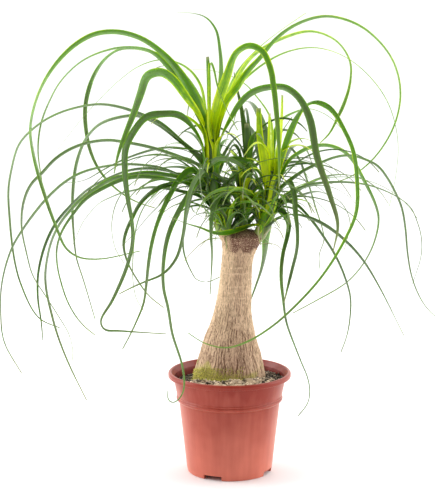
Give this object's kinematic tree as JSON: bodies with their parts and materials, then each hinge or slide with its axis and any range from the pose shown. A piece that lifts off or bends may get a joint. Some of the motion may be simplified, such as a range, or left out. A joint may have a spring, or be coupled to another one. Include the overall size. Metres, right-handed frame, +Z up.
{
  "type": "potted ponytail palm",
  "caption": "Ponytail palm with a swollen, fissured trunk and rosettes of long, arching, thread-tipped leaves, in soil in a tapered plastic nursery pot.",
  "frame": {"origin": "middle of the pot's underside, on the surface it stands on", "axes": "+Z up; -Y is the front, the side that the picture shows; +X to the right seen from the front"},
  "size_m": [0.6343, 0.4643, 0.628],
  "materials": {
    "terracotta_plastic": "smooth moulded plastic with a soft gloss",
    "potting_soil": "damp peat and bark crumbs, matte",
    "bark": "dry corky bark, finely fissured",
    "mature_leaf": "waxy, faintly glossy, with fine lengthwise veins",
    "young_leaf": "waxy, yellow-green",
    "dark_leaf": "waxy, deep green"
  },
  "bodies": {
    "root": {"pot": "terracotta_plastic", "soil": "potting_soil", "trunk": "bark", "tall_shoot": "mature_leaf", "right_shoot": "mature_leaf", "middle_shoot": "young_leaf", "small_shoot": "mature_leaf", "back_shoot": "dark_leaf"}
  },
  "joints": []
}
